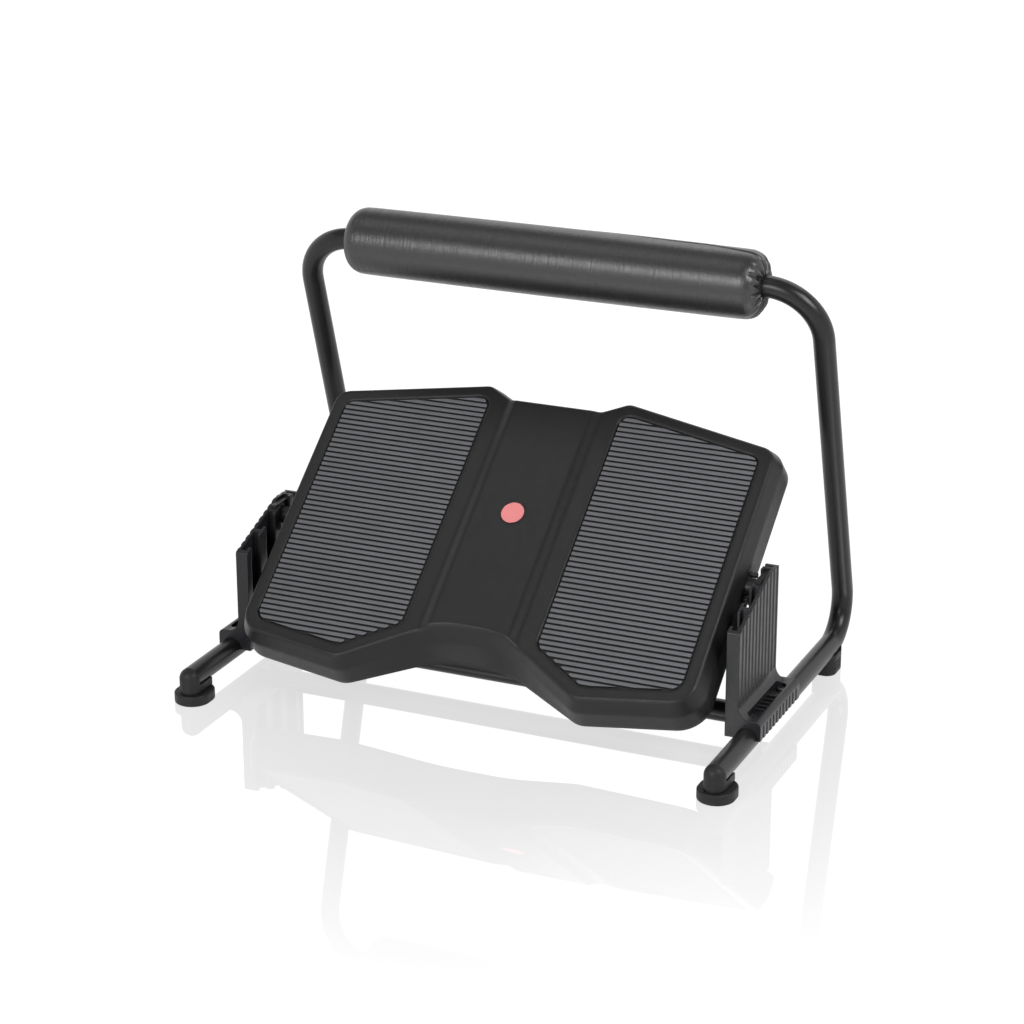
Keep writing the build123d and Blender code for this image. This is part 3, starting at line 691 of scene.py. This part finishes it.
def make_pads(settings):
    """Both ribbed pads, the left one mirrored from the right one."""
    material = tread_finish("pad_rubber", settings)
    right = right_pad_mesh(settings, material)
    if len(right.polygons) < FEWEST_FACES:
        raise RuntimeError("the ribs of the pads did not come out")
    left = right.copy()
    left.transform(Matrix.Diagonal((-1, 1, 1, 1)))
    left.flip_normals()
    place = Matrix.Translation(PIVOT) @ Matrix.Rotation(settings.slope, 4, "X")
    for side, mesh in (("right", right), ("left", left)):
        mesh.transform(place)
        shade_smooth(mesh, SMOOTH_ANGLE)
        pad = new_piece(f"{side}_ribbed_pad", mesh, material)
        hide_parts(f"{side}_foot_pad")
        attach(pad, "platform")


# Padded leg roll

ROUND = 176                 # points round the cover while it is simulated
STRAIGHT_STEPS = 24
CORNER_STEPS = 12
HEM_STEPS = 5
HEM_GAP = 0.0007            # hem clear of the tube
HEM_CURVE = 1.6             # how late the end turns in to its hem
PLEAT_SEED = 23
PLEAT_JITTER = 0.28         # of the space between two folds
PLEAT_DEPTHS = (0.6, 1.0)   # of the deepest fold
PLEAT_WIDTHS = (0.0009, 0.0015)
PLEAT_REACH = {-1: (0.008, 0.013), 1: (0.013, 0.025)}   # left and right end
PLEAT_BEND = 7              # degrees
HEM_SHARE = 0.55            # share of a fold's depth that is left at the hem
HEM_EASE = 0.008            # length over which a fold would deepen by the whole of it
SOFT_FOLD = 0.5             # share of a fold that the simulated cover has
SOFT_WIDEN = 2.2            # how much wider a fold is there
THIN_FROM = 0.012           # radius from which the cover starts smaller
THIN_SPAN = 0.010
CLOTH_FRAMES = 20
CLOTH_SCALE = 10.0          # the cloth is filled at ten times its size
HOLD_GAIN = 2.2             # how firmly a fold is held while the cover fills out
HOLD_CUT = 0.3
SEAM_ANGLE = -21            # degrees forward of the top, on the left half
# Turns of the seam on the right half: degrees forward, where each starts and its length
SEAM_TURNS = ((18, 0.0, 0.13), (13, 0.14, 0.055))
SEAM_WIDTH = 0.0008
LIP_OFFSET = 0.0034
LIP_WIDTH = 0.0024
SEAM_INNER_RADIUS = 0.014   # no seam inside this radius
SEAM_FADE = 0.006


def roll_stations(settings):
    """Distance along the axis and radius, from the middle to the right hem."""
    shoulder = ROLL_HALF_LENGTH - settings.end_radius
    edge = ROLL_RADIUS - settings.crown
    flank = edge - settings.end_radius
    stations = []
    for k in range(STRAIGHT_STEPS):
        x = shoulder * k / STRAIGHT_STEPS
        stations.append((x, ROLL_RADIUS - settings.crown * (x / shoulder) ** 2))
    for k in range(CORNER_STEPS + 1):
        angle = math.radians(90) * k / CORNER_STEPS
        stations.append((shoulder + settings.end_radius * math.sin(angle),
                         flank + settings.end_radius * math.cos(angle)))
    hem_x = ROLL_HALF_LENGTH - settings.dimple
    hem_r = TUBE_RADIUS + HEM_GAP
    for k in range(1, HEM_STEPS + 1):
        share = k / HEM_STEPS
        stations.append((ROLL_HALF_LENGTH + (hem_x - ROLL_HALF_LENGTH) * share ** HEM_CURVE,
                         flank + (hem_r - flank) * share))
    return np.array(stations)


def both_ways(stations):
    """Stations from the left hem to the right hem."""
    left = stations[:0:-1] * np.array((-1, 1))
    return np.concatenate((left, stations))


def roll_rings(stations):
    """Rings of points about the top bar."""
    turn = 2 * np.pi * np.arange(ROUND) / ROUND
    rings = np.zeros((len(stations), ROUND, 3))
    rings[:, :, 0] = stations[:, 0:1]
    rings[:, :, 1] = stations[:, 1:2] * np.cos(turn)
    rings[:, :, 2] = stations[:, 1:2] * np.sin(turn)
    return rings


def outward(rings):
    """Outward direction of the cover at each point of its rings."""
    along = np.gradient(rings, axis=0)
    across = np.roll(rings, -1, 1) - np.roll(rings, 1, 1)
    facing = np.cross(across, along)
    return facing / np.linalg.norm(facing, axis=2, keepdims=True)


def doubled(values):
    """Values along a line, with smooth ones put in between."""
    ends = np.concatenate((2 * values[:1] - values[1:2], values, 2 * values[-1:] - values[-2:-1]))
    result = np.zeros((2 * len(values) - 1,) + values.shape[1:])
    result[0::2] = values
    result[1::2] = (9 * (ends[1:-2] + ends[2:-1]) - ends[:-3] - ends[3:]) / 16
    return result


def doubled_round(rings):
    """Rings with smooth points put in between, all the way round."""
    after = np.roll(rings, -1, 1)
    middle = (9 * (rings + after) - np.roll(rings, 1, 1) - np.roll(rings, -2, 1)) / 16
    return np.stack((rings, middle), axis=2).reshape(len(rings), -1, 3)


def pleat_plan(settings):
    """Uneven folds of both ends: end, angle, depth, half width, reach from the hem and bend."""
    random = np.random.default_rng(PLEAT_SEED)
    plan = []
    for end, reaches in PLEAT_REACH.items():
        for k in range(settings.pleats):
            angle = 2 * math.pi * (k + random.uniform(-PLEAT_JITTER, PLEAT_JITTER)) / settings.pleats
            depth = settings.pleat_depth * random.uniform(*PLEAT_DEPTHS)
            width = random.uniform(*PLEAT_WIDTHS)
            reach = random.uniform(*reaches)
            bend = math.radians(random.uniform(-PLEAT_BEND, PLEAT_BEND))
            plan.append((end, angle, depth, width, reach, bend))
    return plan


def pleat_depths(stations, count, plan, widen):
    """Depth of the folds at each point of the rings: creases that run out from a hem and fade."""
    turn = 2 * np.pi * np.arange(count) / count
    walked = np.concatenate(([0], np.cumsum(np.hypot(*np.diff(stations, axis=0).T))))
    depths = np.zeros((len(stations), count))
    for end, angle, depth, width, reach, bend in plan:
        from_hem = walked if end < 0 else walked[-1] - walked
        share = np.clip(from_hem / (reach * widen ** 0.3), 0, 1)
        fade = (1 - share ** 2.5) * np.clip(HEM_SHARE + from_hem / HEM_EASE, 0, 1)
        away = np.mod(turn[None, :] - angle - bend * share[:, None] + np.pi, 2 * np.pi) - np.pi
        across = np.abs(away) * stations[:, 1:2] / (width * widen)
        depths = np.maximum(depths, depth * fade[:, None] * np.exp(-across ** 1.4))
    return depths


def seam_relief(rings, settings):
    """Height of the lengthways seam: a stitched groove with a fuller lip behind it."""
    seam_angle = np.full(rings.shape[:2], float(SEAM_ANGLE))
    for turn, start, length in SEAM_TURNS:
        share = np.clip((rings[:, :, 0] - start) / length, 0, 1)
        seam_angle += turn * share * share * (3 - 2 * share)
    angle = np.arctan2(-rings[:, :, 1], rings[:, :, 2])
    radius = np.hypot(rings[:, :, 1], rings[:, :, 2])
    across = (np.mod(angle - np.radians(seam_angle) + np.pi, 2 * np.pi) - np.pi) * radius
    outside = np.clip((radius - SEAM_INNER_RADIUS) / SEAM_FADE, 0, 1)
    groove = -np.exp(-(across / SEAM_WIDTH) ** 2)
    lip = 0.5 * np.exp(-((across + LIP_OFFSET) / LIP_WIDTH) ** 2)
    return settings.seam_depth * (groove + lip) * outside


def fill_cover(drawn, folds, settings):
    """Lets the cover puff up between its folds by cloth simulation, and returns its points."""
    mesh = grid_mesh("cover_cloth", [ring * CLOTH_SCALE for ring in drawn])
    cloth_object = bpy.data.objects.new("cover_cloth", mesh)
    bpy.context.scene.collection.objects.link(cloth_object)
    cloth_object.shape_key_add(name="drawn")
    cut = cloth_object.shape_key_add(name="cut")
    looser = drawn * CLOTH_SCALE * (1 + settings.slack)
    cut.data.foreach_set("co", looser.astype(np.float32).ravel())
    cut.value = 0.0
    held = np.clip(folds / settings.pleat_depth * HOLD_GAIN - HOLD_CUT, 0, 1).ravel()
    held[:ROUND] = 1.0
    held[-ROUND:] = 1.0
    pins = cloth_object.vertex_groups.new(name="stitched")
    for index in np.nonzero(held > 0.01)[0]:
        pins.add([int(index)], float(held[index]), "REPLACE")
    modifier = cloth_object.modifiers.new("cloth", "CLOTH")
    cloth = modifier.settings
    cloth.quality = 8
    cloth.mass = 0.25
    cloth.tension_stiffness = 25
    cloth.compression_stiffness = 25
    cloth.shear_stiffness = 8
    cloth.bending_stiffness = 0.4
    cloth.air_damping = 2
    cloth.vertex_group_mass = "stitched"
    cloth.pin_stiffness = 1.0
    cloth.rest_shape_key = cut
    cloth.use_pressure = True
    cloth.uniform_pressure_force = 4.0
    cloth.effector_weights.gravity = 0.0
    modifier.point_cache.frame_start = 1
    modifier.point_cache.frame_end = CLOTH_FRAMES
    scene = bpy.context.scene
    for number in range(1, CLOTH_FRAMES + 1):
        scene.frame_set(number)
    filled = plain_mesh(cloth_object)
    points = np.zeros(drawn.size)
    filled.vertices.foreach_get("co", points)
    bpy.data.meshes.remove(filled)
    drop_object(cloth_object)
    scene.frame_set(1)
    return points.reshape(drawn.shape) / CLOTH_SCALE


def kept_near(points, target, limit):
    """Points that have moved no further than a limit from where the roll's form has them."""
    move = points - target
    length = np.linalg.norm(move, axis=2, keepdims=True)
    return target + move * np.minimum(1, limit / np.maximum(length, 1e-9))


def close_round_tube(mesh):
    """Joins the two hems by a sleeve just clear of the tube."""
    work = bmesh.new()
    work.from_mesh(mesh)
    edges = [edge for edge in work.edges if edge.is_boundary]
    bmesh.ops.bridge_loops(work, edges=edges)
    bmesh.ops.recalc_face_normals(work, faces=work.faces)
    work.to_mesh(mesh)
    work.free()


def make_roll(settings):
    """Leatherette roll with gathered ends, closed by its sleeve round the tube."""
    line = both_ways(roll_stations(settings))
    plan = pleat_plan(settings)
    smooth = roll_rings(line)
    folds = SOFT_FOLD * pleat_depths(line, ROUND, plan, SOFT_WIDEN)
    form = smooth - outward(smooth) * folds[:, :, None]
    share = np.clip((line[:, 1] - THIN_FROM) / THIN_SPAN, 0, 1)
    thin = share[:, None, None] * settings.start_gap
    start = form - outward(smooth) * thin
    points = kept_near(fill_cover(start, folds, settings), form, settings.swell)
    fine = doubled_round(doubled(points))
    relief = seam_relief(fine, settings) - pleat_depths(doubled(line), 2 * ROUND, plan, 1.0)
    fine += outward(fine) * relief[:, :, None]
    cover = grid_mesh("leg_roll", list(fine))
    close_round_tube(cover)
    cover.transform(Matrix.Translation(ROLL_AXIS))
    cover.shade_smooth()
    roll = new_piece("leg_roll", cover, leatherette_finish("roll_leatherette", settings.colour))
    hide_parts("roll_cover", "roll_foam", "roll_elastics")
    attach(roll, "roll")


# Stage

FLOOR_STEPS = 96
# Cosine of the direction, from straight behind, at which the wall starts to rise, and its span
WALL_START = -0.45
WALL_SPAN = 0.3


def seen_ray(tree):
    """One for camera, mirror and see-through rays, and nothing for the rays that light."""
    path = add_node(tree, "ShaderNodeLightPath", (-900, 300))
    total = path.outputs["Is Camera Ray"]
    for k, name in enumerate(("Is Glossy Ray", "Is Transmission Ray")):
        most = add_node(tree, "ShaderNodeMath", (-650 + 200 * k, 300))
        most.operation = "MAXIMUM"
        tree.links.new(total, most.inputs[0])
        tree.links.new(path.outputs[name], most.inputs[1])
        total = most.outputs["Value"]
    return total


def white_sweep_finish():
    """Polished white that keeps a faint mirror image and shadow."""
    material, tree, output = empty_material("white_sweep")
    links = tree.links
    matt = add_node(tree, "ShaderNodeBsdfDiffuse", (-200, 0), Color=(0.86, 0.86, 0.86, 1))
    shade = add_node(tree, "ShaderNodeBsdfDiffuse", (-200, -150), Color=(0.12, 0.12, 0.12, 1))
    glow = add_node(tree, "ShaderNodeEmission", (0, 350), Color=(1, 1, 1, 1))
    shine = add_node(tree, "ShaderNodeBsdfGlossy", (-200, -300), Color=(1, 1, 1, 1), Roughness=0.02)
    bright = add_node(tree, "ShaderNodeAddShader", (50, 100))
    links.new(glow.outputs["Emission"], bright.inputs[0])
    links.new(shade.outputs["BSDF"], bright.inputs[1])
    facing = add_node(tree, "ShaderNodeFresnel", (-400, 500), IOR=3.2)
    where = add_node(tree, "ShaderNodeTexCoord", (-600, 700))
    away = add_node(tree, "ShaderNodeVectorMath", (-400, 700))
    away.operation = "LENGTH"
    links.new(where.outputs["Object"], away.inputs[0])
    distance = away.outputs["Value"]
    fade = mapped(tree, distance, (0.15, 0.85), (1.0, 0.0), (-200, 700), smooth=True)
    lift = mapped(tree, distance, (0.3, 0.95), (0.97, 1.0), (-200, 450))
    links.new(lift, glow.inputs["Strength"])
    mirror = add_node(tree, "ShaderNodeMath", (0, 600))
    mirror.operation = "MULTIPLY"
    links.new(facing.outputs["Fac"], mirror.inputs[0])
    links.new(fade, mirror.inputs[1])
    polished = add_node(tree, "ShaderNodeMixShader", (300, 100))
    links.new(mirror.outputs["Value"], polished.inputs[0])
    links.new(bright.outputs["Shader"], polished.inputs[1])
    links.new(shine.outputs["BSDF"], polished.inputs[2])
    choice = add_node(tree, "ShaderNodeMixShader", (600, 0))
    links.new(seen_ray(tree), choice.inputs[0])
    links.new(matt.outputs["BSDF"], choice.inputs[1])
    links.new(polished.outputs["Shader"], choice.inputs[2])
    links.new(choice.outputs["Shader"], output.inputs["Surface"])
    return material


def wall_top(angle, settings):
    """Height of the wall: tall behind and beside the object, low before it."""
    behind = math.cos(angle - math.pi / 2 - settings.yaw)
    rise = min(max((behind - WALL_START) / WALL_SPAN, 0), 1)
    return settings.edge_height + (settings.wall_height - settings.edge_height) * rise


def lay_floor(settings):
    """Round white floor with a wall at its edge."""
    reach = settings.floor_radius
    turn = [2 * math.pi * k / FLOOR_STEPS for k in range(FLOOR_STEPS)]
    edge = [(reach * math.cos(a), reach * math.sin(a)) for a in turn]
    tops = [wall_top(a, settings) for a in turn]
    points = [(x, y, z) for (x, y), z in zip(edge, tops)] + [(x, y, 0) for x, y in edge]
    faces = [tuple(range(FLOOR_STEPS, 2 * FLOOR_STEPS))]
    for k in range(FLOOR_STEPS):
        j = (k + 1) % FLOOR_STEPS
        faces.append((k, j, FLOOR_STEPS + j, FLOOR_STEPS + k))
    mesh = bpy.data.meshes.new("floor")
    mesh.from_pydata(points, [], faces)
    mesh.materials.append(white_sweep_finish())
    floor = bpy.data.objects.new("floor", mesh)
    bpy.context.scene.collection.objects.link(floor)


def light_room(settings):
    """Even light of the room."""
    world = bpy.data.worlds.new("grey_room")
    bpy.context.scene.world = world
    world.use_nodes = True
    tree = world.node_tree
    tree.nodes.clear()
    output = add_node(tree, "ShaderNodeOutputWorld", (300, 0))
    even = add_node(tree, "ShaderNodeBackground", (0, 0), Color=(1, 1, 1, 1), Strength=settings.ambient)
    tree.links.new(even.outputs["Background"], output.inputs["Surface"])


def soft_lamp(name, place, aim, width, height, power):
    """Soft box that points at the object."""
    lamp = bpy.data.lights.new(name, "AREA")
    lamp.shape = "RECTANGLE"
    lamp.size = width
    lamp.size_y = height
    lamp.energy = power
    holder = bpy.data.objects.new(name, lamp)
    holder.location = place
    holder.rotation_mode = "QUATERNION"
    holder.rotation_quaternion = (Vector(aim) - Vector(place)).to_track_quat("-Z", "Y")
    bpy.context.scene.collection.objects.link(holder)


def hang_lamps():
    """Front, top, back and side soft boxes."""
    soft_lamp("front_box", (-0.45, -2.45, 1.30), aim=(0, 0, 0.3), width=1.8, height=0.75, power=40)
    soft_lamp("top_box", (-0.75, -0.45, 2.4), aim=(0, 0, 0.15), width=1.4, height=1.0, power=6)
    soft_lamp("back_box", (0.1, 1.2, 1.6), aim=(0, 0, 0.2), width=1.6, height=0.6, power=7)
    soft_lamp("right_box", (1.3, -0.4, 1.2), aim=(0.1, 0, 0.15), width=0.7, height=0.7, power=16)


def set_camera(settings):
    """Camera at the photographed angle."""
    yaw, pitch, roll = settings.yaw, settings.pitch, settings.roll
    back = Vector((math.sin(yaw) * math.cos(pitch), -math.cos(yaw) * math.cos(pitch), math.sin(pitch)))
    level = Vector((math.cos(yaw), math.sin(yaw), 0))
    down = (-back).cross(level)
    across = level * math.cos(roll) - down * math.sin(roll)
    upright = -(level * math.sin(roll) + down * math.cos(roll))
    turn = Matrix((across, upright, back)).transposed().to_4x4()
    data = bpy.data.cameras.new("camera")
    data.sensor_width = 36
    data.lens = settings.lens
    data.clip_start = 0.05
    data.clip_end = 40
    camera = bpy.data.objects.new("camera", data)
    camera.matrix_world = Matrix.Translation(settings.place) @ turn
    bpy.context.scene.collection.objects.link(camera)
    bpy.context.scene.camera = camera


# Operators, one for each piece or group of like pieces

class FOOTREST_OT_tubes(bpy.types.Operator):
    """Paint the tubes and finish the screws and steel parts"""
    bl_idname = "footrest.tubes"
    bl_label = "Tubes and Screws"

    def execute(self, context):
        finish = context.scene.footrest_finish
        paint = powder_coat_finish("tube_powder_coat", finish.tube)
        for name in ("left_base_tube", "right_base_tube", "upper_hoop", "crossbar"):
            dress(name, paint)
        steel = metal_finish("bright_steel", finish.steel, 0.22, 0.34, (0.05, 1.0, 1.0))
        for name in ("pivot_axle", "left_joint_sleeve", "right_joint_sleeve"):
            dress(name, steel)
        oxide = metal_finish("black_oxide", finish.screws, 0.36, 0.5, (1.0, 1.0, 1.0))
        for name in ("joint_screws", "crossbar_screws", "saddle_screws"):
            dress(name, oxide)
        return {"FINISHED"}


class FOOTREST_OT_mouldings(bpy.types.Operator):
    """Finish the platform, the brackets, the slide blocks and the disc"""
    bl_idname = "footrest.mouldings"
    bl_label = "Mouldings"

    def execute(self, context):
        finish = context.scene.footrest_finish
        platform = moulded_finish("platform_plastic", finish.platform, 0.33, 0.42, 1700.0, 0.28, edge=0.005)
        dress("platform_shell", platform)
        bracket = moulded_finish("bracket_plastic", finish.bracket, 0.28, 0.38, 1500.0, 0.12, edge=0.0009)
        for side in ("left", "right"):
            dress(f"{side}_side_bracket", bracket)
        block = moulded_finish("block_plastic", finish.platform, 0.34, 0.44, 1200.0, 0.06)
        for side in ("left", "right"):
            dress(f"{side}_slide_block", block)
        disc = moulded_finish("disc_plastic", finish.disc, 0.42, 0.5, 1400.0, 0.05, drift=0.04)
        dress("colour_disc", disc)
        return {"FINISHED"}


class FOOTREST_OT_feet(bpy.types.Operator):
    """Finish the four rubber feet"""
    bl_idname = "footrest.feet"
    bl_label = "Rubber Feet"

    def execute(self, context):
        colour = context.scene.footrest_finish.rubber
        rubber = moulded_finish("foot_rubber", colour, 0.46, 0.6, 1100.0, 0.14, edge=0.001)
        for side in ("left", "right"):
            for end in ("front", "rear"):
                dress(f"{side}_{end}_foot", rubber)
        return {"FINISHED"}


class FOOTREST_OT_pads(bpy.types.Operator):
    """Make the two ribbed foot pads"""
    bl_idname = "footrest.pads"
    bl_label = "Ribbed Pads"

    def execute(self, context):
        make_pads(context.scene.footrest_pads)
        return {"FINISHED"}


class FOOTREST_OT_roll(bpy.types.Operator):
    """Make the padded leg roll"""
    bl_idname = "footrest.roll"
    bl_label = "Leg Roll"

    def execute(self, context):
        make_roll(context.scene.footrest_roll)
        return {"FINISHED"}


class FOOTREST_OT_stage(bpy.types.Operator):
    """Set the floor, the room's light, the lamps and the camera"""
    bl_idname = "footrest.stage"
    bl_label = "Stage"

    def execute(self, context):
        settings = context.scene.footrest_stage
        lay_floor(settings)
        light_room(settings)
        hang_lamps()
        set_camera(settings)
        context.scene.view_settings.view_transform = "Standard"
        return {"FINISHED"}


# Panel and registration

class FOOTREST_PT_panel(bpy.types.Panel):
    """Sizes, colours and steps of the footrest"""
    bl_idname = "FOOTREST_PT_panel"
    bl_label = "Footrest"
    bl_space_type = "VIEW_3D"
    bl_region_type = "UI"
    bl_category = "Footrest"

    def draw(self, context):
        scene = context.scene
        for group in GROUPS:
            column = self.layout.column(align=True)
            for name in group.__annotations__:
                column.prop(getattr(scene, GROUPS[group]), name)
        for operator in OPERATORS:
            self.layout.operator(operator.bl_idname)


GROUPS = {
    FootrestPadSettings: "footrest_pads",
    FootrestRollSettings: "footrest_roll",
    FootrestFinishSettings: "footrest_finish",
    FootrestStageSettings: "footrest_stage",
}
OPERATORS = (
    FOOTREST_OT_stage,
    FOOTREST_OT_tubes,
    FOOTREST_OT_mouldings,
    FOOTREST_OT_feet,
    FOOTREST_OT_pads,
    FOOTREST_OT_roll,
)


def register():
    for group, name in GROUPS.items():
        bpy.utils.register_class(group)
        setattr(bpy.types.Scene, name, bpy.props.PointerProperty(type=group))
    for operator in OPERATORS:
        bpy.utils.register_class(operator)
    bpy.utils.register_class(FOOTREST_PT_panel)


def unregister():
    bpy.utils.unregister_class(FOOTREST_PT_panel)
    for operator in reversed(OPERATORS):
        bpy.utils.unregister_class(operator)
    for group, name in GROUPS.items():
        delattr(bpy.types.Scene, name)
        bpy.utils.unregister_class(group)


def main():
    """Builds the footrest in order."""
    register()
    bpy.ops.footrest.stage()
    bpy.ops.footrest.tubes()
    bpy.ops.footrest.mouldings()
    bpy.ops.footrest.feet()
    bpy.ops.footrest.pads()
    bpy.ops.footrest.roll()


if __name__ == "__main__":
    main()
